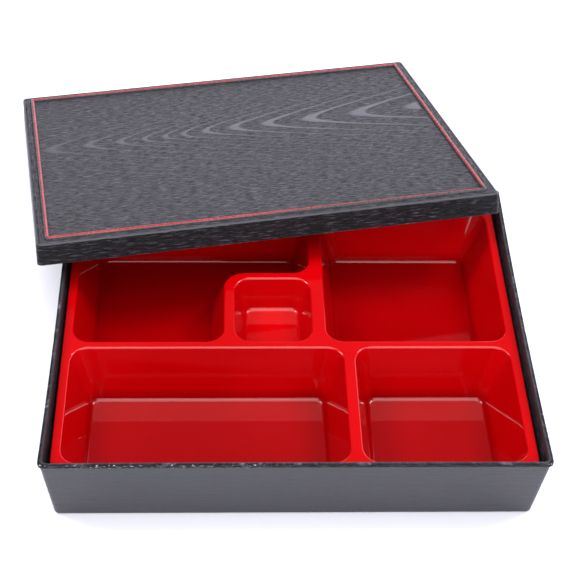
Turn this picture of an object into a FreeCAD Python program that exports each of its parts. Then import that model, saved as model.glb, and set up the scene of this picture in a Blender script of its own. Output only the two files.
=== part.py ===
import FreeCAD, Part
import math
import os

# Bento lunch box in black lacquer-look plastic: an open outer box, a red lift-out tray
# with five food compartments, and a loose lid with a raised red line round its top.
# The lid is off the box: its back edge stands on the table behind the box, its front
# edge is raised over the tray, and it is turned a little to one side.
# Millimetres, +X along the length of the box, +Y to the back, +Z up. The origin is on
# the table, at the middle of the ground that the open box and its lid take up.

# Outer box
BOX_LENGTH = 270.0          # over the rim collar, along X
BOX_WIDTH = 217.5           # over the rim collar, along Y
BOX_HEIGHT = 48.4
BOX_WALL = 1.6
COLLAR_HEIGHT = 2.0         # band round the mouth
COLLAR_PROUD = 0.8          # the band stands this far out of the wall
WALL_TAPER = 3.85           # how far each wall leans in from collar to foot
BOX_CORNER = 3.0
BOX_BOTTOM_ROUND = 1.6
FOOT_LENGTH = 33.0          # each arm of the four corner feet
FOOT_BREADTH = 7.0
FOOT_HEIGHT = 0.6
BASE_RIM = 2.4              # breadth of the rim under the walls, between the feet
BASE_RECESS = 3.6           # underside of the floor, above the table
BOX_FLOOR = 2.0
BOX_INNER_ROUND = 1.5

# Compartment tray
TRAY_LENGTH = 259.4
TRAY_WIDTH = 207.4
TRAY_CORNER = 7.0
TRAY_WALL = 1.5
TRAY_DROP = 8.0             # from the rim of the box down to the top of the tray
TRAY_FORWARD = 1.5          # the tray is pushed to the front of the box
TRAY_CLEARANCE = 0.3        # under the tray
TRAY_BORDER = 4.9           # flat edge outside the compartments
ROW_CREST = 5.0             # between the front and back compartments
PAIR_CREST = 6.3            # between compartments side by side
MIDDLE_CREST = 7.9          # between the small and the right compartment
SHORTER_ROW = 82.0          # front compartments, front to back
FRONT_LEFT_LENGTH = 154.9
BACK_LEFT_LENGTH = 86.8     # the wide part of the L-shaped compartment
SMALL_LENGTH = 44.8
SMALL_WIDTH = 50.8
SMALL_DEPTH = 20.2
OUTER_LEAN = 10.6           # wall lean of a compartment at the tray's edge
RIGHT_LEAN = 12.8
BACK_LEAN = 12.7
CREST_LEAN = 8.6            # wall lean of a compartment at a crest
SMALL_LEAN = 6.3
POCKET_CORNER = 10.0        # plan radius at the top of a compartment
POCKET_FLOOR_CORNER = 5.0
POCKET_ROUND = 2.6          # between compartment wall and floor
NOTCH_CORNER = 13.0         # where the L-shaped compartment bends round the small one

# Lid
LID_OVERHANG = 4.35         # the lid reaches this far past the box on every side
LID_SKIRT = 13.6            # height of the skirt
LID_FLARE = 0.7             # each skirt wall leans out from top to bottom
LID_CORNER = 3.0
LID_EDGE_ROUND = 1.0
SKIRT_WALL = 2.4
PANEL_THICKNESS = 2.4
PANEL_RECESS = 0.3
LINE_BORDER = 5.3           # flat border between the edge and the red line
LINE_BREADTH = 2.8
LINE_HEIGHT = 1.4
LINE_CORNER = 1.2
LINE_ROUND = 0.8
LID_TURN = 9.43             # degrees about Z
LID_TILT = -15.22           # degrees about the lid's own X, front edge up
LID_PLACE = (-26.9, 162.3)  # middle of the lid from the middle of the box

CUT_PAST = 5.0              # how far a cutting solid runs past the face that it opens


def rectangle(length, width, middle=(0.0, 0.0)):
    """Corners of a rectangle, anticlockwise from front left."""
    x, y = middle
    a, b = length / 2, width / 2
    return [(x - a, y - b), (x + a, y - b), (x + a, y + b), (x - a, y + b)]


def inset(corners, amounts):
    """Move each side of a square-cornered outline inwards by its own amount."""
    moved = []
    for i, corner in enumerate(corners):
        shift = [0.0, 0.0]
        for side in (i - 1, i):
            start = corners[side]
            end = corners[(side + 1) % len(corners)]
            length = math.dist(start, end)
            shift[0] -= (end[1] - start[1]) / length * amounts[side]
            shift[1] += (end[0] - start[0]) / length * amounts[side]
        moved.append((corner[0] + shift[0], corner[1] + shift[1]))
    return moved


def rounded_wire(corners, radii, z):
    """Closed wire through right-angled corners, each rounded by its own radius."""
    edges = []
    last_end = None
    first_start = None
    for i, corner in enumerate(corners):
        here = FreeCAD.Vector(corner[0], corner[1], z)
        back = FreeCAD.Vector(*corners[i - 1], z) - here
        on = FreeCAD.Vector(*corners[(i + 1) % len(corners)], z) - here
        back.normalize()
        on.normalize()
        start = here + back * radii[i]
        end = here + on * radii[i]
        middle = here + (back + on) * radii[i] * (1 - math.sqrt(0.5))
        if last_end is not None:
            edges.append(Part.makeLine(last_end, start))
        edges.append(Part.Arc(start, middle, end).toShape())
        last_end = end
        first_start = first_start or start
    edges.append(Part.makeLine(last_end, first_start))
    return Part.Wire(edges)


def loft(*wires):
    """Solid with straight walls between outlines that have the same corners."""
    return Part.makeLoft(list(wires), True, True)


def round_level_edges(solid, radius, z):
    """Round the edges of a solid that lie in the level plane at z."""
    near = 1e-4
    edges = [e for e in solid.Edges if abs(e.BoundBox.ZMin - z) < near and abs(e.BoundBox.ZMax - z) < near]
    return solid.makeFillet(radius, edges)


def block(length, width, bottom, top):
    """Upright block centred on the Z axis."""
    corner = FreeCAD.Vector(-length / 2, -width / 2, bottom)
    return Part.makeBox(length, width, top - bottom, corner)


def box_section(z, thickness=0.0):
    """Outline of the box wall at height z, set in by a thickness."""
    wall_top = BOX_HEIGHT - COLLAR_HEIGHT
    lean = COLLAR_PROUD + WALL_TAPER * (wall_top - z) / wall_top + thickness
    outline = inset(rectangle(BOX_LENGTH, BOX_WIDTH), [lean] * 4)
    return rounded_wire(outline, [BOX_CORNER] * 4, z)


def box_floor_level():
    return BASE_RECESS + BOX_FLOOR


def make_outer_box():
    """Drafted box with a collar round its mouth, a sunk base and L-shaped corner feet."""
    wall_top = BOX_HEIGHT - COLLAR_HEIGHT
    body = round_level_edges(loft(box_section(0.0), box_section(wall_top)), BOX_BOTTOM_ROUND, 0.0)
    rim = rectangle(BOX_LENGTH, BOX_WIDTH)
    collar = loft(
        rounded_wire(rim, [BOX_CORNER] * 4, wall_top),
        rounded_wire(rim, [BOX_CORNER] * 4, BOX_HEIGHT),
    )
    floor = box_floor_level()
    cavity = loft(box_section(floor, BOX_WALL), box_section(BOX_HEIGHT + CUT_PAST, BOX_WALL))
    cavity = round_level_edges(cavity, BOX_INNER_ROUND, floor)
    box = body.fuse(collar).cut(cavity).removeSplitter()
    base_inset = 2 * (COLLAR_PROUD + WALL_TAPER)
    base_length = BOX_LENGTH - base_inset
    base_width = BOX_WIDTH - base_inset
    past = 2 * CUT_PAST
    between_feet_length = base_length - 2 * FOOT_LENGTH
    between_feet_width = base_width - 2 * FOOT_LENGTH
    hollows = [
        block(between_feet_length, base_width + past, -CUT_PAST, FOOT_HEIGHT),
        block(base_length + past, between_feet_width, -CUT_PAST, FOOT_HEIGHT),
        block(between_feet_length, base_width - 2 * BASE_RIM, -CUT_PAST, BASE_RECESS),
        block(base_length - 2 * BASE_RIM, between_feet_width, -CUT_PAST, BASE_RECESS),
        block(base_length - 2 * FOOT_BREADTH, base_width - 2 * FOOT_BREADTH, -CUT_PAST, BASE_RECESS),
    ]
    for hollow in hollows:
        box = box.cut(hollow)
    return box


def tray_top_level():
    return BOX_HEIGHT - TRAY_DROP


def tray_bottom_level():
    return box_floor_level() + TRAY_CLEARANCE


def compartments():
    """Each compartment: corners at its top, lean of each side, corner radii and depth."""
    left = -TRAY_LENGTH / 2 + TRAY_BORDER
    right = TRAY_LENGTH / 2 - TRAY_BORDER
    front = -TRAY_WIDTH / 2 + TRAY_BORDER
    back = TRAY_WIDTH / 2 - TRAY_BORDER
    row_end = front + SHORTER_ROW
    row_start = row_end + ROW_CREST
    deep = tray_top_level() - tray_bottom_level() - TRAY_WALL
    front_split = left + FRONT_LEFT_LENGTH
    small_left = left + BACK_LEFT_LENGTH + PAIR_CREST
    small_right = small_left + SMALL_LENGTH
    small_back = row_start + SMALL_WIDTH
    notch_back = small_back + ROW_CREST
    back_split = small_right + MIDDLE_CREST
    even = [POCKET_CORNER] * 4
    return {
        "front_left": (
            [(left, front), (front_split, front), (front_split, row_end), (left, row_end)],
            [OUTER_LEAN, OUTER_LEAN, OUTER_LEAN, OUTER_LEAN],
            even,
            deep,
        ),
        "front_right": (
            [(front_split + PAIR_CREST, front), (right, front), (right, row_end),
             (front_split + PAIR_CREST, row_end)],
            [OUTER_LEAN, RIGHT_LEAN, OUTER_LEAN, CREST_LEAN],
            even,
            deep,
        ),
        "back_left": (
            [(left, row_start), (left + BACK_LEFT_LENGTH, row_start),
             (left + BACK_LEFT_LENGTH, notch_back), (small_right, notch_back),
             (small_right, back), (left, back)],
            [CREST_LEAN, CREST_LEAN, CREST_LEAN, CREST_LEAN, BACK_LEAN, OUTER_LEAN],
            [POCKET_CORNER, POCKET_CORNER, NOTCH_CORNER] + [POCKET_CORNER] * 3,
            deep,
        ),
        "small": (
            [(small_left, row_start), (small_right, row_start), (small_right, small_back),
             (small_left, small_back)],
            [SMALL_LEAN] * 4,
            even,
            SMALL_DEPTH,
        ),
        "back_right": (
            [(back_split, row_start), (right, row_start), (right, back), (back_split, back)],
            [CREST_LEAN, RIGHT_LEAN, BACK_LEAN, CREST_LEAN],
            even,
            deep,
        ),
    }


def pocket(corners, leans, radii, depth, wall):
    """Compartment space, or with a wall thickness the outside of that compartment."""
    top = tray_top_level()
    floor = top - depth - wall
    outline = inset(corners, [-wall] * len(corners))
    floor_outline = inset(outline, leans)
    bends = [turn(corners, i) for i in range(len(corners))]
    top_radii = [radius + wall * bend for radius, bend in zip(radii, bends)]
    floor_radii = [POCKET_FLOOR_CORNER + wall * bend for bend in bends]
    solid = loft(rounded_wire(floor_outline, floor_radii, floor), rounded_wire(outline, top_radii, top))
    return round_level_edges(solid, POCKET_ROUND + wall, floor)


def turn(corners, i):
    """1 where an anticlockwise outline turns left at corner i, -1 where it turns right."""
    before = corners[i - 1]
    here = corners[i]
    after = corners[(i + 1) % len(corners)]
    cross = (here[0] - before[0]) * (after[1] - here[1]) - (here[1] - before[1]) * (after[0] - here[0])
    return math.copysign(1.0, cross)


def make_partition_tray():
    """Thin-walled tray: a flat top plate with five tapered compartments hanging from it."""
    top = tray_top_level()
    edge = rectangle(TRAY_LENGTH, TRAY_WIDTH)
    radii = [TRAY_CORNER] * 4
    tray = loft(rounded_wire(edge, radii, top - TRAY_WALL), rounded_wire(edge, radii, top))
    for corners, leans, corner_radii, depth in compartments().values():
        tray = tray.fuse(pocket(corners, leans, corner_radii, depth, TRAY_WALL))
    for corners, leans, corner_radii, depth in compartments().values():
        tray = tray.cut(pocket(corners, leans, corner_radii, depth, 0.0))
    tray.translate(FreeCAD.Vector(0, -TRAY_FORWARD, 0))
    return tray


def lid_size(z):
    """Length and width of the lid at a height from its top, which is z = 0."""
    grow = 2 * (LID_OVERHANG - LID_FLARE / 2 - LID_FLARE * z / LID_SKIRT)
    return BOX_LENGTH + grow, BOX_WIDTH + grow


def lid_section(z, thickness=0.0):
    outline = inset(rectangle(*lid_size(z)), [thickness] * 4)
    return rounded_wire(outline, [LID_CORNER] * 4, z)


def line_outline(step, z):
    """Outline round the lid's top, a step in from its outer edge."""
    outline = inset(rectangle(*lid_size(0.0)), [step] * 4)
    return rounded_wire(outline, [LINE_CORNER] * 4, z)


def make_lid():
    """Shallow cover with a plain skirt, a flat border and a slightly sunk top panel."""
    shell = round_level_edges(loft(lid_section(-LID_SKIRT), lid_section(0.0)), LID_EDGE_ROUND, 0.0)
    underside = -PANEL_RECESS - PANEL_THICKNESS
    cavity = loft(lid_section(-LID_SKIRT - CUT_PAST, SKIRT_WALL), lid_section(underside, SKIRT_WALL))
    sunk = LINE_BORDER + LINE_BREADTH
    recess = loft(line_outline(sunk, -PANEL_RECESS), line_outline(sunk, CUT_PAST))
    return shell.cut(cavity).cut(recess)


def make_lid_red_line():
    """Raised bead, painted red, between the border and the top panel."""
    outer = loft(line_outline(LINE_BORDER, 0.0), line_outline(LINE_BORDER, LINE_HEIGHT))
    inner_step = LINE_BORDER + LINE_BREADTH
    inner = loft(line_outline(inner_step, -CUT_PAST), line_outline(inner_step, LINE_HEIGHT + CUT_PAST))
    return round_level_edges(outer.cut(inner), LINE_ROUND, LINE_HEIGHT)


def lay_lid(pieces):
    """Put the lid's pieces in place: turned, tilted, and standing on the back edge."""
    turn_z = FreeCAD.Rotation(FreeCAD.Vector(0, 0, 1), LID_TURN)
    tilt_x = FreeCAD.Rotation(FreeCAD.Vector(1, 0, 0), LID_TILT)
    placement = FreeCAD.Placement(FreeCAD.Vector(*LID_PLACE, 0.0), turn_z * tilt_x)
    for piece in pieces:
        piece.transformShape(placement.toMatrix(), True)
    return pieces


def lowest(shape):
    return min(vertex.Z for vertex in shape.Vertexes)


def build():
    """All pieces by name, moved so that the origin is under the middle of the whole."""
    lid, red_line = lay_lid([make_lid(), make_lid_red_line()])
    lift = FreeCAD.Vector(0, 0, -lowest(lid))
    lid.translate(lift)
    red_line.translate(lift)
    pieces = {
        "outer_box": make_outer_box(),
        "partition_tray": make_partition_tray(),
        "lid": lid,
        "lid_red_line": red_line,
    }
    bounds = Part.makeCompound(list(pieces.values())).optimalBoundingBox(False)
    middle = bounds.Center
    for piece in pieces.values():
        piece.translate(FreeCAD.Vector(-middle.x, -middle.y, 0))
    return pieces


os.makedirs("parts", exist_ok=True)
for name, piece in build().items():
    piece.exportStep("parts/" + name + ".step")
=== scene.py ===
import math

import bmesh
import bpy
import numpy as np
from mathutils import Matrix, Vector
from mathutils.geometry import tessellate_polygon


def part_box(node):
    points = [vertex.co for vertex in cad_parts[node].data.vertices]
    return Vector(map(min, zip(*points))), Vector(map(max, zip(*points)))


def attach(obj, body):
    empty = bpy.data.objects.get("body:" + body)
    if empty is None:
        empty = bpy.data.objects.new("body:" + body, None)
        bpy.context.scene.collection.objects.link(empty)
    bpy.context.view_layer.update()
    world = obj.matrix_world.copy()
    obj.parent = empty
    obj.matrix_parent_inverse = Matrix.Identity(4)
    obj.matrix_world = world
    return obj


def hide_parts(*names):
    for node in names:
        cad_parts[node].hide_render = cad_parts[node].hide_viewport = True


# Bento lunch box: a black box with an embossed wood grain, a glossy red tray with five
# compartments, and a black lid with a cathedral wood grain and a raised red line.
# Lengths are millimetres until a mesh is finished, and metres from there on.

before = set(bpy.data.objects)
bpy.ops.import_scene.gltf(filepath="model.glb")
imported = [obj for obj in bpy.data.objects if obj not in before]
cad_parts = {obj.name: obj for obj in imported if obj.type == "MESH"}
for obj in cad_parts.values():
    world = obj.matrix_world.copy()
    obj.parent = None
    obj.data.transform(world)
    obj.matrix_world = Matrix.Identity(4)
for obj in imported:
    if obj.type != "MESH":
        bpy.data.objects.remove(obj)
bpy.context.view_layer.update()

MM = 0.001
MERGE_DISTANCE = 2e-6       # metres
CREASE = math.radians(50)   # edges sharper than this stay sharp
ARC_STEPS = 6
LEAST_ROUND = 0.02          # corner radius where a ring is all but square

# Outer box
BOX_WALL = 1.6
COLLAR_HEIGHT = 2.0
COLLAR_PROUD = 0.8
COLLAR_ROUND = 0.35
COLLAR_UNDERCUT = 0.2       # rounding of the collar's lower edge
WALL_TAPER = 3.85
BOX_CORNER = 3.0
BOX_BOTTOM_ROUND = 1.6
FOOT_LENGTH = 33.0
FOOT_BREADTH = 7.0
FOOT_HEIGHT = 0.6
FOOT_END = 0.3
BASE_RIM = 2.4
BASE_RECESS = 3.6
BOX_FLOOR = 5.6             # top of the floor, above the table
BOX_INNER_ROUND = 1.5
SIDE_BOW = 1.2              # the long reach of each side wall sags inwards at the rim
FRONT_BOW = 0.3
NICK_DEPTH = 0.2            # small dents in the collar
WALL_TONE = 0.5             # the box walls are smoother and paler than the lid
COLLAR_TONE = -1.0          # the collar is darker, and below this tone it is scuffed
INSIDE_TONE = -0.6          # the smooth inside is darker than the grained outside
BOX_COLUMN = 2.4            # mesh spacing along the walls
BOX_ROW = 0.52              # and up them

# Tray
TRAY_CORNER = 7.0
TRAY_WALL = 1.5
TRAY_EDGE_ROUND = 0.7
TRAY_BORDER = 4.9
ROW_CREST = 5.0
PAIR_CREST = 6.3
MIDDLE_CREST = 7.9
SHORTER_ROW = 82.0
FRONT_LEFT_LENGTH = 154.9
BACK_LEFT_LENGTH = 86.8
SMALL_LENGTH = 44.8
SMALL_WIDTH = 50.8
SMALL_DEPTH = 20.2
OUTER_LEAN = 10.6
RIGHT_LEAN = 12.8
BACK_LEAN = 12.7
CREST_LEAN = 8.6
SMALL_LEAN = 6.3
POCKET_CORNER = 10.0
NOTCH_CORNER = 13.0
POCKET_FLOOR_CORNER = 5.0
POCKET_ROUND = 2.6
CREST_ROUND = 1.35
NO_ROUND = 1e-6             # the tray's underside has no rounding at its crests
LEAST_POCKET_ROUND = 0.4    # no corner of a compartment is sharper than this
FILLET_TURN = 74            # degrees that the crest and floor fillets turn through
FILLET_DEPTH = 0.73         # share of its radius that such a fillet takes up
TRAY_COLUMN = 9.0           # mesh spacing along the straights
SHADE_DARKEST_BELOW = 0.0078           # metres above the table, up to where the painted shade on the red is darkest
SHADE_NONE_ABOVE = 0.016            # and from where the red has no painted shade
PAINTED_SHADE_SHARE = 0.4             # share of the red's brightness taken off by painted shade on the compartment floors

# Lid, in its own frame: X along it, Z out of its top, origin in the middle of its border
LID_SKIRT = 13.6
LID_FLARE = 0.7
LID_CORNER = 3.0
LID_EDGE_ROUND = 1.0
SKIRT_WALL = 2.4
LIP_ROUND = 0.4             # rounding of the skirt's lower edge
PANEL_THICKNESS = 2.4
PANEL_RECESS = 0.3
LINE_BORDER = 5.3
LINE_BREADTH = 2.8
LINE_HEIGHT = 1.4
LINE_EASE = 0.045           # the bead is this much lower, so that its unevenness stays in bounds
LINE_CORNER = 1.2
LINE_COLUMN = 2.5           # mesh spacing along the bead
LINE_STEPS = 14             # and round its half circle
PAINT_START = 74.0          # degrees up the bead's outer flank where the paint begins
PAINT_END = 136.0           # and down its inner flank where it ends
PAINT_LOWER = 36.0          # it begins this much lower along the left of the front
CORNER_REACH = 6.0          # how far from the front right corner the bare stretch ends
FRONT_BAND = 12.0           # the front side of the bead lies within this of the lid's edge
GROOVE_STEP = 1.7           # fine groove just inside the lid's edge
GROOVE_BREADTH = 0.5
GROOVE_DEPTH = 0.25
LID_TURN = 9.43             # degrees about the vertical
LID_TILT = -15.22           # and about its own length
EDGE_TONE = 0.8             # the lid's rounded edge is polished, as smooth wood is
SKIRT_SHADE_TONE = -1.0           # and its skirt is darker, as painted shade
PANEL_EDGE = 0.6            # flat strip between the bead and the grain
PANEL_COLUMN = 1.75
PANEL_ROW = 0.5
SKIRT_COLUMN = 2.6
SKIRT_ROW = 0.55
SKIRT_RELIEF = 1.9          # the skirt's grain is this much coarser

# Wood grain
GRAIN_RELIEF = 0.085        # fine streaks on every black face
RING_RELIEF = 0.16          # cathedral rings of the lid
RING_APEX = 25.0            # how blunt each arch is
RING_SPREAD = 0.36          # slope of an arch's legs
RING_TIGHT = -46.0          # where along the lid the arches are closest together
RING_PITCH = 12.0           # their pitch there
RING_OPENING = 0.2          # how fast the pitch grows away from there
SPINE_PLACE = 24.0          # line through the tips of the arches, from the lid's middle
SPINE_SLOPE = 0.045

# Colours, linear
GRAIN_DARK = (0.012, 0.011, 0.018, 1)
GRAIN_LIGHT = (0.030, 0.028, 0.040, 1)
GRAIN_CLOUD = (0.013, 0.012, 0.014, 1)
# near black mixed in below tone 0: it darkens the collar and the box's inside, and is painted shade on the
# lid's skirt
COLLAR_AND_SHADE_BLACK = (0.008, 0.008, 0.010, 1)
CREST_GREY = (0.150, 0.146, 0.180, 1)
SMOOTH_GREY = (0.032, 0.032, 0.042, 1)
PORE_BLACK = (0.003, 0.003, 0.004, 1)
SCUFF_GREY = (0.42, 0.42, 0.43, 1)
TRAY_RED = (0.41, 0.0, 0.001, 1)
TRAY_RED_LIGHT = (0.45, 0.0005, 0.002, 1)
# black mixed into the tray's red as painted shade low in the compartments
NO_LIGHT = (0.0, 0.0, 0.0, 1)
PAINT_RED = (0.27, 0.004, 0.010, 1)
PAINT_RED_LIGHT = (0.36, 0.012, 0.022, 1)
BARE_BEAD = (0.022, 0.022, 0.026, 1)
FLOOR_GREY = (0.88, 0.88, 0.96, 1)
FLOOR_WHITE = (0.90, 0.90, 0.97, 1)

# Camera, fitted to the viewing angle
CAMERA_PLACE = (-0.01183, -0.64962, 0.63265)
CAMERA_YAW = -0.02739
CAMERA_TILT = 0.78155
CAMERA_ROLL = 0.01861
CAMERA_LENS = 87.97
CAMERA_SHIFT = 0.0556
CAMERA_SENSOR = 36.0

# Studio light
BACKDROP = 2.1              # radiance of the white backdrop low down behind the object
DARK_STUDIO = 0.14          # and of everything else round it
# Along each axis, the part of the view direction where it has gone dark and where it is white
BACKDROP_EDGES = {"X": (-0.36, -0.14), "Y": (-0.25, 0.35), "Z": (0.56, 0.34)}
STUDIO_TINT = (0.97, 0.96, 1.08, 1.0)
OVERHEAD = 1.8              # broad soft light from above, in watts per square metre
OVERHEAD_SPREAD = 55.0
OVERHEAD_LEAN = 4.0
STROBE = 20.0               # radiance of the two bright softboxes, left and right
STROBE_SIZE = 0.38
STROBE_PLACE = (0.8, 0.12, 1.15)
FRONT_FILL = 2.4            # radiance of the large soft light in front
FRONT_FILL_SIZE = 1.9
FRONT_FILL_PLACE = (0.0, -1.3, 1.0)
FLOOR_REACH = 14.0

NOISE_CELLS = 256
NOISE = np.random.default_rng(11).random((NOISE_CELLS, NOISE_CELLS))


# ---------------------------------------------------------------- outlines and noise

def noise(u, v):
    """Smooth noise between 0 and 1, one cell per unit of u and v."""
    i = np.floor(u).astype(int)
    j = np.floor(v).astype(int)
    a = u - i
    b = v - j
    a = a * a * (3 - 2 * a)
    b = b * b * (3 - 2 * b)
    i, i_next = i % NOISE_CELLS, (i + 1) % NOISE_CELLS
    j, j_next = j % NOISE_CELLS, (j + 1) % NOISE_CELLS
    near = NOISE[i, j] * (1 - a) + NOISE[i_next, j] * a
    far = NOISE[i, j_next] * (1 - a) + NOISE[i_next, j_next] * a
    return near * (1 - b) + far * b


def smooth(low, high, value):
    """0 below low, 1 above high, and an even S between them."""
    t = np.clip((value - low) / (high - low), 0.0, 1.0)
    return t * t * (3 - 2 * t)


def streaks(along, across):
    """Height of the fine embossed grain, between -1 and 1."""
    coarse = noise(along / 46.0, across / 1.7)
    fine = noise(along / 13.0 + 57.0, across / 0.62 + 31.0)
    return coarse + fine - 1.0


def rectangle(length, width):
    a, b = length / 2, width / 2
    return np.array([(-a, -b), (a, -b), (a, b), (-a, b)])


def directions(corners):
    """Unit vector along each side, from corner i to the next."""
    along = np.roll(corners, -1, axis=0) - corners
    return along / np.linalg.norm(along, axis=1)[:, None]


def inset(corners, amounts):
    """Move each side of a square-cornered outline inwards by its own amount."""
    along = directions(corners)
    inward = np.stack([-along[:, 1], along[:, 0]], axis=1) * np.asarray(amounts)[:, None]
    return corners + inward + np.roll(inward, 1, axis=0)


def turns(corners):
    """1 where an anticlockwise outline turns left, -1 where it turns right."""
    on = directions(corners)
    back = np.roll(on, 1, axis=0)
    return np.sign(back[:, 0] * on[:, 1] - back[:, 1] * on[:, 0])


def rounded_outline(corners, radii, sides, arc_steps):
    """Points round the outline, each corner an arc. sides says where each straight's points lie, 0 to 1."""
    on = directions(corners)
    back = -np.roll(on, 1, axis=0)
    points = []
    for i, corner in enumerate(corners):
        centre = corner + (back[i] + on[i]) * radii[i]
        for step in range(arc_steps + 1):
            angle = step / arc_steps * math.pi / 2
            points.append(centre - radii[i] * (on[i] * math.cos(angle) + back[i] * math.sin(angle)))
        following = (i + 1) % len(corners)
        start = corner + on[i] * radii[i]
        end = corners[following] - on[i] * radii[following]
        points.extend(start + (end - start) * part for part in sides[i])
    return np.array(points)


def even_sides(corners, spacing):
    """Places of evenly spaced points on the straights of an outline."""
    lengths = np.linalg.norm(np.roll(corners, -1, axis=0) - corners, axis=1)
    return [np.linspace(0, 1, max(2, round(length / spacing)) + 1)[1:-1] for length in lengths]


def at_height(outline, z):
    """Outline with a height, or a height for each point."""
    return np.column_stack([outline, np.broadcast_to(z, len(outline))])


def travel(ring):
    """Distance along a closed ring at each of its points, and once more back at its start."""
    steps = np.linalg.norm(np.roll(ring, -1, axis=0) - ring, axis=1)
    return np.concatenate([[0.0], np.cumsum(steps)])


# ---------------------------------------------------------------- meshes

class Shell:
    """Faces of one piece in millimetres, with grain coordinates at their corners and a tone at each point.

    Tone 0 is open grain and 1 smooth, polished wood. Below 0 it is darker and reflects less (on the lid's
    skirt that darkening is painted shade), and from -1.1 on it is scuffed. On the red bead, 1 is paint and 0
    is bare.
    """

    def __init__(self):
        self.points = []
        self.count = 0
        self.faces = []
        self.grain = []
        self.tone = []

    def add(self, points, tone=None):
        start = self.count
        self.points.append(np.asarray(points, float))
        self.count += len(points)
        self.tone.append(np.zeros(len(points)) if tone is None else np.asarray(tone, float))
        return start

    def rings(self, rings, across, along=None, tone=None):
        """Quads between closed rings of equal point count."""
        rings = np.asarray(rings)
        rows, columns = rings.shape[:2]
        start = self.add(rings.reshape(-1, 3), None if tone is None else np.asarray(tone).reshape(-1))
        along = travel(rings[0]) if along is None else along
        for row in range(rows - 1):
            here = start + row * columns
            for column in range(columns):
                on = (column + 1) % columns
                above = here + columns
                self.faces.append((here + column, here + on, above + on, above + column))
                u, u_on = along[column], along[column + 1]
                v, v_on = across[row], across[row + 1]
                self.grain.extend([(u, v), (u_on, v), (u_on, v_on), (u, v_on)])

    def cap(self, ring):
        """One flat face inside a ring."""
        start = self.add(ring)
        self.faces.append(tuple(range(start, start + len(ring))))
        self.grain.extend((point[0], point[1]) for point in ring)

    def plate(self, loops):
        """Flat face inside the first loop, with the other loops as holes in it."""
        points = np.concatenate(loops)
        start = self.add(points)
        triangles = tessellate_polygon([[Vector(point) for point in loop] for loop in loops])
        for triangle in triangles:
            self.faces.append(tuple(start + i for i in triangle))
            self.grain.extend((points[i][0], points[i][1]) for i in triangle)

    def sheet(self, x, y, z, tone):
        """Open grid of quads."""
        rows, columns = z.shape
        grid_x, grid_y = np.meshgrid(x, y)
        points = np.stack([grid_x, grid_y, z], axis=-1).reshape(-1, 3)
        start = self.add(points, tone.reshape(-1))
        for row in range(rows - 1):
            for column in range(columns - 1):
                here = start + row * columns + column
                face = (here, here + 1, here + columns + 1, here + columns)
                self.faces.append(face)
                self.grain.extend((points[i - start][0], points[i - start][1]) for i in face)

    def finish(self, name, place=Matrix.Identity(4)):
        """Mesh object in metres, in its place: doubles merged, faces outwards, smooth except at creases."""
        mesh = bpy.data.meshes.new(name)
        mesh.from_pydata((np.concatenate(self.points) * MM).tolist(), [], self.faces)
        grain = mesh.uv_layers.new(name="grain")
        grain.data.foreach_set("uv", (np.array(self.grain) * MM).ravel())
        tone = mesh.attributes.new("tone", "FLOAT", "POINT")
        tone.data.foreach_set("value", np.concatenate(self.tone))
        work = bmesh.new()
        work.from_mesh(mesh)
        bmesh.ops.remove_doubles(work, verts=work.verts, dist=MERGE_DISTANCE)
        bmesh.ops.recalc_face_normals(work, faces=work.faces)
        for face in work.faces:
            face.smooth = True
        for edge in work.edges:
            edge.smooth = edge.calc_face_angle(0.0) < CREASE
        work.transform(place)
        work.to_mesh(mesh)
        work.free()
        piece = bpy.data.objects.new(name, mesh)
        bpy.context.scene.collection.objects.link(piece)
        weighted = piece.modifiers.new("flat_faces_stay_flat", "WEIGHTED_NORMAL")
        weighted.keep_sharp = True
        return piece


def fillet(start_angle, end_angle, steps):
    """Evenly spaced angles of an arc, in radians, between two given in degrees."""
    return np.radians(np.linspace(start_angle, end_angle, steps + 1))


# ---------------------------------------------------------------- outer box

def box_columns(length, width):
    """Places of the mesh columns on each side of the box, with a pair at the end of every foot."""
    sides = []
    for size in (length, width, length, width):
        straight = size - 2 * (COLLAR_PROUD + WALL_TAPER) - 2 * BOX_CORNER
        places = list(np.linspace(0, 1, round(straight / BOX_COLUMN) + 1)[1:-1])
        for reach in (FOOT_LENGTH - BOX_CORNER, FOOT_LENGTH - BOX_CORNER + FOOT_END):
            part = reach / straight
            for place in (part, 1 - part):
                nearest = min(range(len(places)), key=lambda k: abs(places[k] - place))
                places[nearest] = place
        sides.append(sorted(places))
    return sides


def bowed(ring, length, width, share):
    """Ring with the middle of each wall drawn in by a share of the bow."""
    x, y, z = ring.T
    side = np.clip(1 - (2 * y / width) ** 2, 0, 1) * SIDE_BOW
    front = np.clip(1 - (2 * x / length) ** 2, 0, 1) * FRONT_BOW
    near_side = smooth(0.9, 1.0, np.abs(x) * 2 / length + 0.08)
    near_front = smooth(0.9, 1.0, np.abs(y) * 2 / width + 0.08)
    moved_x = x - np.sign(x) * side * share * near_side
    moved_y = y - np.sign(y) * front * share * near_front
    return np.stack([moved_x, moved_y, z], axis=1)


def scuffed(ring, length, width):
    """How worn the collar is at each point: most along the front left and near the front corners."""
    x, y = ring[:, 0] * 2 / length, ring[:, 1] * 2 / width
    at_front = smooth(0.9, 0.95, -y)
    at_side = smooth(0.9, 0.95, np.abs(x))
    front_left = smooth(-0.95, -0.7, x) * (1 - smooth(-0.3, 0.0, x))
    near_front = 1 - smooth(-0.7, -0.1, y)
    return np.clip(at_front * (0.18 + front_left) + at_side * near_front * 0.55, 0, 1)


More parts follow.
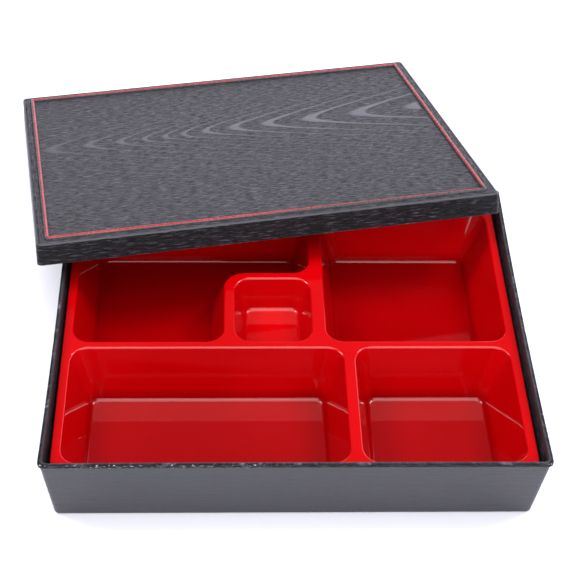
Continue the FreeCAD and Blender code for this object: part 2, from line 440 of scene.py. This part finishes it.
def box_profile(height, wall_top, lean):
    """(step inwards, height) up the outside and down the inside, and which rows are wall and collar."""
    outer = []
    for angle in fillet(0, 90, 5):
        rise = BOX_BOTTOM_ROUND * (1 - math.cos(angle))
        outer.append((lean(rise) + BOX_BOTTOM_ROUND * (1 - math.sin(angle)), rise))
    first_wall = len(outer) - 2
    rows = round((wall_top - BOX_BOTTOM_ROUND) / BOX_ROW)
    outer += [(lean(z), z) for z in np.linspace(BOX_BOTTOM_ROUND, wall_top, rows + 1)[1:]]
    wall_rows = range(first_wall, len(outer) - 1)

    first_collar = len(outer)
    round_off = COLLAR_UNDERCUT * 0.3
    outer.append((COLLAR_UNDERCUT, wall_top))
    outer.append((round_off, wall_top + round_off))
    outer.append((0.0, wall_top + COLLAR_UNDERCUT))
    outer += [(0.0, wall_top + z) for z in np.linspace(COLLAR_UNDERCUT, COLLAR_HEIGHT - COLLAR_ROUND, 5)[1:]]
    for angle in fillet(0, 90, 4)[1:]:
        z = height - COLLAR_ROUND * (1 - math.sin(angle))
        outer.append((COLLAR_ROUND * (1 - math.cos(angle)), z))
    collar_rows = range(first_collar, len(outer))

    inner_top = lean(height) + BOX_WALL
    for angle in fillet(0, 90, 4):
        step = inner_top - COLLAR_ROUND * (1 - math.sin(angle))
        outer.append((step, height - COLLAR_ROUND * (1 - math.cos(angle))))
    inside = []
    for z in np.linspace(height - COLLAR_ROUND, BOX_FLOOR + BOX_INNER_ROUND, 12)[1:]:
        inside.append((lean(z) + BOX_WALL, z))
    for angle in fillet(0, 90, 4)[1:]:
        z = BOX_FLOOR + BOX_INNER_ROUND * (1 - math.sin(angle))
        inside.append((lean(z) + BOX_WALL + BOX_INNER_ROUND * (1 - math.cos(angle)), z))
    return outer, inside, wall_rows, collar_rows


def make_outer_box():
    """Drafted box with a collar, sagging walls, four L-shaped feet and a sunk base."""
    low, high = (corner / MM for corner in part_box("outer_box"))
    length, width, height = high - low
    corners = rectangle(length, width)
    sides = box_columns(length, width)
    wall_top = height - COLLAR_HEIGHT

    def lean(z):
        return COLLAR_PROUD + WALL_TAPER * (wall_top - z) / wall_top

    def ring(step, z, radius=BOX_CORNER):
        outline = rounded_outline(inset(corners, [step] * 4), [radius] * 4, sides, ARC_STEPS)
        return at_height(outline, z)

    base = ring(lean(0.0), 0.0)
    along = travel(base)
    base_corner = inset(corners, [lean(0.0)] * 4)[2]
    to_corner = np.abs(np.abs(base[:, :2]) - base_corner).max(axis=1)
    relief = smooth(FOOT_LENGTH, FOOT_LENGTH + FOOT_END, to_corner) * FOOT_HEIGHT

    outer, inside, wall_rows, collar_rows = box_profile(height, wall_top, lean)
    shell = Shell()
    rings = []
    tones = []
    middle = np.array([(low.x + high.x) / 2, (low.y + high.y) / 2, 0.0])
    outward = ring(-1.0, 0.0, BOX_CORNER + 1)[:, :2] - ring(0.0, 0.0)[:, :2]
    worn = scuffed(base, length, width)
    for row, (step, z) in enumerate(outer + inside):
        points = ring(step, z)
        if row in wall_rows:
            points[:, :2] += outward * (streaks(along[:-1], z) * GRAIN_RELIEF)[:, None]
        tone = np.full(len(points), INSIDE_TONE if row >= len(outer) else WALL_TONE)
        if row in collar_rows:
            nick = smooth(0.72, 0.95, noise(along[:-1] / 3.1 + 9, z / 0.9)) * NICK_DEPTH
            points[:, :2] -= outward * nick[:, None]
            tone = COLLAR_TONE - worn
        tones.append(tone)
        points[:, 2] = np.maximum(points[:, 2], relief)
        rings.append(bowed(points, length, width, z / height))
    shell.rings(np.array(rings) + middle, [z for step, z in outer + inside], along, tones)
    shell.cap(rings[-1] + middle)

    def base_ring(step, between, level, level_between):
        """Ring under the box, with its own inset and level between the feet."""
        share = (relief / FOOT_HEIGHT)[:, None]
        at_feet = at_height(ring(step, 0.0)[:, :2], level)
        return at_feet * (1 - share) + at_height(ring(between, 0.0)[:, :2], level_between) * share

    edge_step = outer[0][0]
    foot = lean(0.0) + FOOT_BREADTH
    rim = lean(0.0) + BASE_RIM
    under = [
        base_ring(edge_step, edge_step, 0.0, FOOT_HEIGHT),
        base_ring(foot, rim, 0.0, FOOT_HEIGHT),
        base_ring(foot + FOOT_END, rim + FOOT_END, FOOT_END, FOOT_HEIGHT + FOOT_END),
        base_ring(foot + FOOT_END, rim + FOOT_END, BASE_RECESS, BASE_RECESS),
    ]
    shell.rings(np.array(under) + middle, [-edge_step, -foot, -foot - 1, -foot - 4], along)
    shell.cap(under[-1] + middle)
    return shell.finish("grained_box")


# ---------------------------------------------------------------- tray

def tray_compartments(length, width, height):
    """Each compartment: corners at the tray's top, lean of each side, corner radii and depth."""
    left = -length / 2 + TRAY_BORDER
    right = length / 2 - TRAY_BORDER
    front = -width / 2 + TRAY_BORDER
    back = width / 2 - TRAY_BORDER
    row_end = front + SHORTER_ROW
    row_start = row_end + ROW_CREST
    deep = height - TRAY_WALL
    split = left + FRONT_LEFT_LENGTH
    split_end = split + PAIR_CREST
    wide_end = left + BACK_LEFT_LENGTH
    small_left = wide_end + PAIR_CREST
    small_right = small_left + SMALL_LENGTH
    small_back = row_start + SMALL_WIDTH
    notch_back = small_back + ROW_CREST
    back_split = small_right + MIDDLE_CREST
    even = [POCKET_CORNER] * 4
    notched = [POCKET_CORNER, POCKET_CORNER, NOTCH_CORNER] + [POCKET_CORNER] * 3
    return [
        ([(left, front), (split, front), (split, row_end), (left, row_end)],
         [OUTER_LEAN] * 4, even, deep),
        ([(split_end, front), (right, front), (right, row_end), (split_end, row_end)],
         [OUTER_LEAN, RIGHT_LEAN, OUTER_LEAN, CREST_LEAN], even, deep),
        ([(left, row_start), (wide_end, row_start), (wide_end, notch_back), (small_right, notch_back),
          (small_right, back), (left, back)],
         [CREST_LEAN] * 4 + [BACK_LEAN, OUTER_LEAN], notched, deep),
        ([(small_left, row_start), (small_right, row_start), (small_right, small_back),
          (small_left, small_back)],
         [SMALL_LEAN] * 4, even, SMALL_DEPTH),
        ([(back_split, row_start), (right, row_start), (right, back), (back_split, back)],
         [CREST_LEAN, RIGHT_LEAN, BACK_LEAN, CREST_LEAN], even, deep),
    ]


def wall_step(lean, depth, drop, crest, floor):
    """How far a compartment wall has moved in at a drop below its top, rounded at crest and floor."""
    turned = math.pi / 2 - math.atan2(lean, depth)
    rise = depth - drop
    if drop < crest * (1 - math.cos(turned)):
        angle = math.acos(1 - drop / crest)
        return crest * (math.sin(angle) - math.tan(turned / 2))
    if rise < floor * (1 - math.cos(turned)):
        angle = math.acos(1 - rise / floor)
        return lean + floor * (math.tan(turned / 2) - math.sin(angle))
    return lean * drop / depth


def pocket_rings(corners, leans, radii, depth, drops, crest, floor, thickness=0.0):
    """Rings down a compartment wall: (outline, drop) for each drop below the tray's top."""
    corners = inset(np.array(corners, float), [-thickness] * len(corners))
    bends = turns(corners)
    sides = even_sides(corners, TRAY_COLUMN)
    rings = []
    for drop in drops:
        steps = np.array([wall_step(lean, depth, drop, crest, floor) for lean in leans])
        straight = np.array(leans) * drop / depth
        share = drop / depth
        plain = np.array(radii) * (1 - share) + POCKET_FLOOR_CORNER * share
        give = (straight - steps).mean()
        rounds = np.maximum(plain + bends * (thickness + give), LEAST_POCKET_ROUND)
        rings.append(rounded_outline(inset(corners, steps), rounds, sides, arc_steps=12))
    return rings


def make_tray():
    """Thin tray: a compartment wall on each side of the moulding, joined by a flat top and a rim."""
    low, high = (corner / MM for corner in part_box("partition_tray"))
    length, width, height = high - low
    top = high.z
    middle = np.array([(low.x + high.x) / 2, (low.y + high.y) / 2, 0.0])
    edge = rectangle(length, width)
    sides = even_sides(edge, TRAY_COLUMN)

    def edge_ring(step, z):
        outline = rounded_outline(inset(edge, [step] * 4), [TRAY_CORNER - step] * 4, sides, arc_steps=10)
        return at_height(outline, z) + middle

    shell = Shell()
    upper_loops = []
    under_loops = []
    for corners, leans, radii, depth in tray_compartments(length, width, height):
        crest_drops = CREST_ROUND * (1 - np.cos(fillet(0, FILLET_TURN, 6)))
        wall_drops = np.linspace(crest_drops[-1], depth - POCKET_ROUND * FILLET_DEPTH, 7)[1:]
        floor_drops = depth - POCKET_ROUND * (1 - np.cos(fillet(FILLET_TURN, 0, 8)))
        drops = np.concatenate([crest_drops, wall_drops, floor_drops[1:]])
        outlines = pocket_rings(corners, leans, radii, depth, drops, CREST_ROUND, POCKET_ROUND)
        rings = [at_height(outline, top - drop) + middle for outline, drop in zip(outlines, drops)]
        shell.rings(rings, -drops)
        shell.cap(rings[-1])
        upper_loops.append(rings[0])
        outer_depth = depth + TRAY_WALL
        floor_round = POCKET_ROUND + TRAY_WALL
        under_drops = np.concatenate([
            np.linspace(TRAY_WALL, outer_depth - floor_round * FILLET_DEPTH, 5),
            outer_depth - floor_round * (1 - np.cos(fillet(FILLET_TURN, 0, 6)[1:])),
        ])
        outlines = pocket_rings(corners, leans, radii, outer_depth, under_drops,
                                NO_ROUND, floor_round, TRAY_WALL)
        rings = [at_height(outline, top - drop) + middle for outline, drop in zip(outlines, under_drops)]
        shell.rings(rings, -under_drops)
        shell.cap(rings[-1])
        under_loops.append(rings[0])
    rim = []
    for angle in fillet(0, 90, 5):
        z = top - TRAY_EDGE_ROUND * (1 - math.cos(angle))
        rim.append(edge_ring(TRAY_EDGE_ROUND * (1 - math.sin(angle)), z))
    for angle in fillet(0, 90, 4):
        z = top - TRAY_WALL + TRAY_EDGE_ROUND * (1 - math.sin(angle))
        rim.append(edge_ring(TRAY_EDGE_ROUND * (1 - math.cos(angle)), z))
    shell.rings(rim, np.linspace(0, -2, len(rim)))
    shell.plate([rim[0]] + upper_loops)
    shell.plate([rim[-1]] + under_loops)
    return shell.finish("compartment_tray")


# ---------------------------------------------------------------- lid

def lid_frame():
    """Matrix from the lid's own frame to the frame of the whole, found from the lid's solid."""
    turn = Matrix.Rotation(math.radians(LID_TURN), 4, "Z")
    spin = turn @ Matrix.Rotation(math.radians(LID_TILT), 4, "X")
    flat = np.array([(spin.inverted() @ vertex.co)[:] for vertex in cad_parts["lid"].data.vertices])
    low, high = flat.min(axis=0), flat.max(axis=0)
    origin = Vector(((low[0] + high[0]) / 2, (low[1] + high[1]) / 2, high[2]))
    size = (high - low) / MM
    return Matrix.Translation(spin @ origin) @ spin, size


def rings_of_growth(x, y):
    """Cathedral grain: tone from 0, open pores, to 1, smooth wood, at each place on the panel."""
    wander = 3.0 * (noise(x / 55.0 + 3, y / 30.0) - 0.5) + 1.6 * (noise(x / 14.0, y / 9.0 + 40) - 0.5)
    spine = SPINE_PLACE + SPINE_SLOPE * x + 2.0 * (noise(x / 60.0 + 20, y * 0) - 0.5)
    aside = (y - spine) / RING_SPREAD
    reach = np.sqrt(aside ** 2 + RING_APEX ** 2)
    apex = x + RING_APEX - reach + wander * 2.0 * reach / (reach + 25.0)
    away = apex - RING_TIGHT
    phase = np.sign(away) * np.log1p(np.abs(away) * RING_OPENING / RING_PITCH) / RING_OPENING
    part = phase - np.floor(phase)
    bluntness = RING_APEX / reach
    start = 0.74 - 0.26 * bluntness ** 2
    line = smooth(start, start + 0.6 * (1 - start), part) * (1 - smooth(0.95, 0.995, part))
    strength = 0.42 + 0.58 * bluntness ** 0.8
    towards_back = 1 - 0.45 * smooth(25.0, 60.0, y - spine)
    towards_front = 1 - 0.75 * smooth(55.0, 95.0, spine - y)
    towards_left = 0.6 + 0.4 * smooth(-120.0, 40.0, x)
    return line * strength * towards_back * towards_front * towards_left


def make_lid(place, size):
    """Hollow lid with a grained skirt, a grooved border and an embossed panel."""
    length, width = size[0] - 2 * LID_FLARE, size[1] - 2 * LID_FLARE
    corners = rectangle(length, width)
    sides = even_sides(corners, SKIRT_COLUMN)

    def ring(step, z, radius):
        rounds = [max(radius, LEAST_ROUND)] * 4
        return at_height(rounded_outline(inset(corners, [step] * 4), rounds, sides, ARC_STEPS), z)

    def flare(z):
        return LID_FLARE * z / LID_SKIRT

    def border_level(step):
        """Height of the border, with one fine groove inside its edge and one along the bead."""
        level = 0.0
        for groove in (GROOVE_STEP, LINE_BORDER - GROOVE_BREADTH / 2):
            level -= GROOVE_DEPTH * max(0.0, 1 - (2 * (step - groove) / GROOVE_BREADTH) ** 2)
        return level

    underside = -PANEL_RECESS - PANEL_THICKNESS
    lip_level = -LID_SKIRT + LIP_ROUND
    half = SKIRT_WALL / 2
    inner = [(flare(z) + SKIRT_WALL, z) for z in np.linspace(underside, lip_level, 6)]
    lip = []
    for angle in fillet(0, 180, 8):
        step = flare(-LID_SKIRT) + half + half * math.cos(angle)
        lip.append((step, lip_level - LIP_ROUND * math.sin(angle)))
    rows = round((LID_SKIRT - LID_EDGE_ROUND - LIP_ROUND) / SKIRT_ROW)
    skirt = [(flare(z), z) for z in np.linspace(lip_level, -LID_EDGE_ROUND, rows + 1)[1:]]
    edge = []
    for angle in fillet(0, 90, 6)[1:]:
        edge.append((LID_EDGE_ROUND * (1 - math.cos(angle)), -LID_EDGE_ROUND * (1 - math.sin(angle))))
    border_steps = np.concatenate([
        GROOVE_STEP + GROOVE_BREADTH / 2 * np.linspace(-1, 1, 7),
        np.linspace(GROOVE_STEP + GROOVE_BREADTH / 2, LINE_BORDER - GROOVE_BREADTH, 4)[1:],
        LINE_BORDER - GROOVE_BREADTH / 2 + GROOVE_BREADTH / 2 * np.linspace(-1, 1, 7)[1:],
        [LINE_BORDER + LINE_BREADTH],
    ])
    border = [(step, border_level(step)) for step in border_steps]
    sunk = LINE_BORDER + LINE_BREADTH
    profile = inner + lip[1:] + skirt + edge + border + [(sunk, -PANEL_RECESS)]

    outward = ring(-1.0, 0.0, LID_CORNER + 1)[:, :2] - ring(0.0, 0.0, LID_CORNER)[:, :2]
    along = travel(ring(0.0, 0.0, LID_CORNER))
    first_skirt = len(inner) + len(lip) - 1
    first_edge = first_skirt + len(skirt)
    first_border = first_edge + len(edge)
    rings = []
    across = []
    tones = []
    for row, (step, z) in enumerate(profile):
        points = ring(step, z, LID_CORNER - max(step, 0.0))
        if first_skirt <= row < first_edge - 1:
            coarse = streaks((along[:-1] + 400) / SKIRT_RELIEF, z / SKIRT_RELIEF)
            points[:, :2] += outward * (coarse * GRAIN_RELIEF * SKIRT_RELIEF)[:, None]
        rings.append(points)
        across.append(z - step)
        # the skirt's darker tone is painted shade
        on_skirt = first_skirt <= row < first_edge
        on_edge = first_edge <= row < first_border
        tones.append(np.full(len(points), EDGE_TONE * on_edge + SKIRT_SHADE_TONE * on_skirt))
    shell = Shell()
    shell.rings(rings, across, along, tones)
    shell.cap(rings[0])

    panel_x = length / 2 - sunk - PANEL_EDGE
    panel_y = width / 2 - sunk - PANEL_EDGE
    x = np.linspace(-panel_x, panel_x, round(2 * panel_x / PANEL_COLUMN) + 1)
    y = np.linspace(-panel_y, panel_y, round(2 * panel_y / PANEL_ROW) + 1)
    grid_x, grid_y = np.meshgrid(x, y)
    tone = rings_of_growth(grid_x, grid_y)
    inside = smooth(0, 2.0, np.minimum(panel_x - np.abs(grid_x), panel_y - np.abs(grid_y)))
    fine = streaks(grid_x, grid_y) * GRAIN_RELIEF * (1 - 0.8 * tone)
    relief = (tone * RING_RELIEF + fine - 0.02) * inside
    shell.sheet(x, y, relief - PANEL_RECESS, tone)
    seam = [(px, -panel_y) for px in x[:-1]] + [(panel_x, py) for py in y[:-1]]
    seam += [(px, panel_y) for px in x[:0:-1]] + [(-panel_x, py) for py in y[:0:-1]]
    shell.plate([rings[-1], at_height(np.array(seam), -PANEL_RECESS)])
    return shell.finish("grained_lid", place)


def painted(ring, angle, length, width):
    """Where the bead carries paint: its crest and inner flank, but for a spot at each front corner."""
    x, y = ring[:, 0], ring[:, 1]
    from_left = np.hypot(x + length / 2 - LINE_BORDER, y + width / 2 - LINE_BORDER)
    from_right = np.hypot(x - length / 2 + LINE_BORDER, y + width / 2 - LINE_BORDER)
    at_front = smooth(width / 2 - FRONT_BAND, width / 2 - FRONT_BAND + 2, -y)
    first = PAINT_START - PAINT_LOWER * at_front * (1 - smooth(-40.0, 70.0, x))
    across = smooth(first - 9, first + 9, angle) * (1 - smooth(PAINT_END - 8, PAINT_END + 8, angle))
    left_gap = smooth(1.6, 2.6, from_left)
    right_gap = 1 - at_front * smooth(1.5, 2.5, from_right) * (1 - smooth(4.5, CORNER_REACH, from_right))
    return across * left_gap * right_gap


def make_red_line(place, size):
    """Half-round bead swept round the lid, with tight corners."""
    length, width = size[0] - 2 * LID_FLARE, size[1] - 2 * LID_FLARE
    corners = rectangle(length, width)
    sides = even_sides(corners, LINE_COLUMN)
    half = LINE_BREADTH / 2
    angles = fillet(0, 180, LINE_STEPS)
    rings = []
    for angle in angles:
        step = LINE_BORDER + half - half * math.cos(angle)
        radius = max(LINE_CORNER - (step - LINE_BORDER), LEAST_ROUND)
        outline = rounded_outline(inset(corners, [step] * 4), [radius] * 4, sides, arc_steps=3)
        rings.append(at_height(outline, LINE_HEIGHT * math.sin(angle)))
    along = travel(rings[0])
    place_along = along[:-1]
    uneven = 0.05 * (noise(place_along / 7.0, place_along * 0) - 0.5)
    uneven += 0.012 * (noise(place_along / 2.2, place_along * 0 + 5) - 0.5)
    paint = []
    for ring, angle in zip(rings, angles):
        ring[:, 2] += (uneven - LINE_EASE) * math.sin(angle)
        paint.append(painted(ring, math.degrees(angle), length, width))
    shell = Shell()
    shell.rings(rings + [rings[0]], range(len(rings) + 1), along, paint + [paint[0]])
    return shell.finish("red_bead", place)


# ---------------------------------------------------------------- materials

class Nodes:
    """A material's node tree, with short calls for the nodes used here."""

    def __init__(self, name):
        self.material = bpy.data.materials.new(name)
        self.material.use_nodes = True
        self.tree = self.material.node_tree
        self.shader = self.tree.nodes["Principled BSDF"]

    def node(self, kind, inputs=(), **settings):
        made = self.tree.nodes.new(kind)
        for key, value in settings.items():
            setattr(made, key, value)
        for key, value in dict(inputs).items():
            if isinstance(value, bpy.types.NodeSocket):
                self.tree.links.new(value, made.inputs[key])
            else:
                made.inputs[key].default_value = value
        return made

    def link(self, socket, key):
        self.tree.links.new(socket, self.shader.inputs[key])

    def grain_space(self, along, across):
        """Grain coordinates in cells of the given size in millimetres."""
        place = self.node("ShaderNodeUVMap", uv_map="grain")
        scale = (1 / (along * MM), 1 / (across * MM), 1.0)
        return self.node("ShaderNodeMapping", {"Vector": place.outputs[0], "Scale": scale}).outputs[0]

    def speckle(self, space, detail=2.0, roughness=0.5):
        inputs = {"Vector": space, "Scale": 1.0, "Detail": detail, "Roughness": roughness}
        return self.node("ShaderNodeTexNoise", inputs).outputs["Fac"]

    def cloud(self, place, scale, detail):
        """Noise by place on the object, with scale in cells to the metre."""
        inputs = {"Vector": place, "Scale": scale, "Detail": detail}
        return self.node("ShaderNodeTexNoise", inputs).outputs["Fac"]

    def ramp(self, value, low, high, start=0.0, end=1.0):
        inputs = {"Value": value, "From Min": low, "From Max": high, "To Min": start, "To Max": end}
        return self.node("ShaderNodeMapRange", inputs, interpolation_type="SMOOTHSTEP").outputs[0]

    def math(self, operation, a, b=0.0):
        return self.node("ShaderNodeMath", {0: a, 1: b}, operation=operation).outputs[0]

    def mix(self, share, dark, light):
        made = self.node("ShaderNodeMix", data_type="RGBA")
        for key, value in ((0, share), (6, dark), (7, light)):
            if isinstance(value, bpy.types.NodeSocket):
                self.tree.links.new(value, made.inputs[key])
            else:
                made.inputs[key].default_value = value
        return made.outputs[2]

    def bump(self, height, strength, distance, normal=None):
        inputs = {"Height": height, "Strength": strength, "Distance": distance}
        if normal is not None:
            inputs["Normal"] = normal
        return self.node("ShaderNodeBump", inputs).outputs[0]


def grain_plastic():
    """Satin black plastic with short pores along the grain, paler smooth rings and worn scuffs."""
    m = Nodes("black_grain_plastic")
    tone = m.node("ShaderNodeAttribute", attribute_name="tone").outputs["Fac"]
    pores = m.speckle(m.grain_space(5.5, 0.8), 3.0, 0.65)
    hairs = m.speckle(m.grain_space(9.0, 0.85), 3.0, 0.65)
    streak = m.speckle(m.grain_space(38.0, 1.5), 3.0, 0.6)
    cloud = m.speckle(m.grain_space(45.0, 38.0), 2.0, 0.5)
    flakes = m.speckle(m.grain_space(2.2, 0.7), 2.0, 0.6)
    open_wood = m.ramp(tone, 0.6, 0.1)
    holes = m.math("MULTIPLY", m.ramp(pores, 0.53, 0.38), open_wood)
    ridges = m.math("MULTIPLY", m.ramp(hairs, 0.52, 0.66), open_wood)
    base = m.mix(m.ramp(streak, 0.3, 0.7), GRAIN_DARK, GRAIN_LIGHT)
    base = m.mix(m.ramp(cloud, 0.35, 0.7, 0.0, 0.3), base, GRAIN_CLOUD)
    # below tone 0 the colour goes towards near black: the collar and the box's inside, and painted shade on
    # the lid's skirt
    base = m.mix(m.ramp(tone, 0.0, -1.0, 0.0, 0.75), base, COLLAR_AND_SHADE_BLACK)
    crests = m.math("MULTIPLY", ridges, m.ramp(tone, 0.0, -1.0, 0.8, 0.5))
    base = m.mix(crests, base, CREST_GREY)
    base = m.mix(m.ramp(tone, 0.1, 0.9, 0.0, 0.8), base, SMOOTH_GREY)
    base = m.mix(m.math("MULTIPLY", holes, 0.8), base, PORE_BLACK)
    scuffs = m.math("MULTIPLY", m.ramp(flakes, 0.57, 0.66), m.ramp(tone, -1.1, -1.9))
    base = m.mix(scuffs, base, SCUFF_GREY)
    m.link(base, "Base Color")
    rough = m.math("ADD", m.ramp(streak, 0.25, 0.75, 0.40, 0.52), m.math("MULTIPLY", holes, 0.3))
    rough = m.math("SUBTRACT", rough, m.ramp(tone, 0.0, -0.6, 0.0, 0.12))
    m.link(m.ramp(tone, 0.0, -0.8, 0.5, 0.16), "Specular IOR Level")
    m.link(m.math("SUBTRACT", rough, m.ramp(tone, 0.3, 1.0, 0.0, 0.16)), "Roughness")
    relief = m.math("SUBTRACT", m.math("MULTIPLY", ridges, 0.6), holes)
    fine = m.bump(relief, 1.0, 0.0005)
    m.link(m.bump(streak, 0.5, 0.00012, fine), "Normal")
    return m.material


def red_gloss():
    """High-gloss lacquer red, very slightly wavy like any moulded wall, with painted shade darkening it
    towards the compartment floors.
    """
    m = Nodes("red_gloss_plastic")
    place = m.node("ShaderNodeTexCoord").outputs["Object"]
    wave = m.cloud(place, 45.0, 1.0)
    flow = m.cloud(place, 14.0, 2.0)
    dust = m.cloud(place, 1900.0, 1.0)
    red = m.mix(m.ramp(flow, 0.35, 0.65), TRAY_RED, TRAY_RED_LIGHT)
    level = m.node("ShaderNodeSeparateXYZ", {"Vector": place}).outputs["Z"]
    # painted shade: the red is mixed towards black lower down in the compartments
    m.link(m.mix(m.ramp(level, SHADE_DARKEST_BELOW, SHADE_NONE_ABOVE, PAINTED_SHADE_SHARE, 0.0), red, NO_LIGHT), "Base Color")
    m.link(m.ramp(dust, 0.4, 0.75, 0.035, 0.09), "Roughness")
    m.link(m.bump(wave, 0.16, 0.0004), "Normal")
    m.shader.inputs["IOR"].default_value = 1.5
    return m.material


def red_paint():
    """Red paint on the bead's crest; the unpainted flank and the specks worn through are black."""
    m = Nodes("red_line_paint")
    tone = m.node("ShaderNodeAttribute", attribute_name="tone").outputs["Fac"]
    place = m.node("ShaderNodeTexCoord").outputs["Object"]
    fleck = m.cloud(place, 420.0, 2.0)
    thin = m.cloud(place, 60.0, 2.0)
    red = m.mix(m.ramp(thin, 0.35, 0.7), PAINT_RED, PAINT_RED_LIGHT)
    paint = m.math("MULTIPLY", m.ramp(tone, 0.3, 0.6), m.ramp(fleck, 0.84, 0.76))
    m.link(m.mix(paint, BARE_BEAD, red), "Base Color")
    m.link(m.ramp(fleck, 0.3, 0.7, 0.22, 0.34), "Roughness")
    m.link(m.bump(thin, 0.12, 0.0002), "Normal")
    return m.material


def floor_finish():
    """Pale matt floor, a touch uneven."""
    m = Nodes("pale_floor")
    place = m.node("ShaderNodeTexCoord").outputs["Object"]
    cloud = m.cloud(place, 3.0, 1.0)
    m.link(m.mix(cloud, FLOOR_GREY, FLOOR_WHITE), "Base Color")
    m.shader.inputs["Roughness"].default_value = 0.9
    m.shader.inputs["Specular IOR Level"].default_value = 0.1
    return m.material


# ---------------------------------------------------------------- stage

def make_camera():
    """Camera at the front, looking down on the box."""
    data = bpy.data.cameras.new("camera")
    data.lens = CAMERA_LENS
    data.sensor_width = CAMERA_SENSOR
    data.shift_x = CAMERA_SHIFT
    camera = bpy.data.objects.new("camera", data)
    bpy.context.scene.collection.objects.link(camera)
    spin = (Matrix.Rotation(CAMERA_YAW, 4, "Z") @ Matrix.Rotation(CAMERA_TILT, 4, "X")
            @ Matrix.Rotation(CAMERA_ROLL, 4, "Z"))
    camera.matrix_world = Matrix.Translation(CAMERA_PLACE) @ spin
    bpy.context.scene.camera = camera


def make_floor():
    """Plain square of floor under everything."""
    mesh = bpy.data.meshes.new("floor")
    outline = at_height(rectangle(2 * FLOOR_REACH, 2 * FLOOR_REACH), 0.0)
    mesh.from_pydata(outline.tolist(), [], [(0, 1, 2, 3)])
    mesh.materials.append(floor_finish())
    floor = bpy.data.objects.new("floor", mesh)
    bpy.context.scene.collection.objects.link(floor)


def area_light(name, place, size, radiance):
    """Square softbox aimed at the frame's origin, given by how bright its face is."""
    data = bpy.data.lights.new(name, "AREA")
    data.size = size
    data.energy = radiance * math.pi * size ** 2
    light = bpy.data.objects.new(name, data)
    bpy.context.scene.collection.objects.link(light)
    aim = (-Vector(place)).to_track_quat("-Z", "Y")
    light.matrix_world = Matrix.Translation(place) @ aim.to_matrix().to_4x4()


def make_world():
    """Dark studio with a white backdrop low down behind the object."""
    world = bpy.data.worlds.new("studio")
    world.use_nodes = True
    bpy.context.scene.world = world
    tree = world.node_tree
    sky = tree.nodes["Background"]
    sky.inputs["Color"].default_value = STUDIO_TINT
    look = tree.nodes.new("ShaderNodeTexCoord")
    part = tree.nodes.new("ShaderNodeSeparateXYZ")
    tree.links.new(look.outputs["Generated"], part.inputs[0])
    level = None
    for axis, (dark, white) in BACKDROP_EDGES.items():
        edge = tree.nodes.new("ShaderNodeMapRange")
        edge.interpolation_type = "SMOOTHSTEP"
        edge.inputs["From Min"].default_value = dark
        edge.inputs["From Max"].default_value = white
        tree.links.new(part.outputs[axis], edge.inputs["Value"])
        share = tree.nodes.new("ShaderNodeMath")
        share.operation = "MULTIPLY"
        share.inputs[1].default_value = BACKDROP - DARK_STUDIO
        tree.links.new(edge.outputs[0], share.inputs[0])
        if level is not None:
            tree.links.new(level, share.inputs[1])
        level = share.outputs[0]
    total = tree.nodes.new("ShaderNodeMath")
    total.operation = "ADD"
    total.inputs[1].default_value = DARK_STUDIO
    tree.links.new(level, total.inputs[0])
    tree.links.new(total.outputs[0], sky.inputs["Strength"])


def make_light():
    """Broad light from above, a softbox to each side and a large soft fill in front."""
    make_world()
    overhead = bpy.data.lights.new("overhead", "SUN")
    overhead.energy = OVERHEAD
    overhead.angle = math.radians(OVERHEAD_SPREAD)
    light = bpy.data.objects.new("overhead", overhead)
    bpy.context.scene.collection.objects.link(light)
    light.rotation_euler = (math.radians(OVERHEAD_LEAN), 0.0, 0.0)
    aside, back, up = STROBE_PLACE
    for side in (-aside, aside):
        area_light("softbox", (side, back, up), STROBE_SIZE, STROBE)
    area_light("front_fill", FRONT_FILL_PLACE, FRONT_FILL_SIZE, FRONT_FILL)
    bpy.context.scene.view_settings.view_transform = "Standard"


# ---------------------------------------------------------------- the whole

make_camera()
make_floor()
make_light()

black = grain_plastic()
lid_place, lid_size = lid_frame()
pieces = (
    (make_outer_box(), "box", "outer_box", "black_grain_plastic", black),
    (make_tray(), "tray", "partition_tray", "red_gloss_plastic", red_gloss()),
    (make_lid(lid_place, lid_size), "lid", "lid", "black_grain_plastic", black),
    (make_red_line(lid_place, lid_size), "lid", "lid_red_line", "red_line_paint", red_paint()),
)
for piece, body, node, slot, material in pieces:
    piece.data.materials.append(material)
    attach(piece, body)
    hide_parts(node)
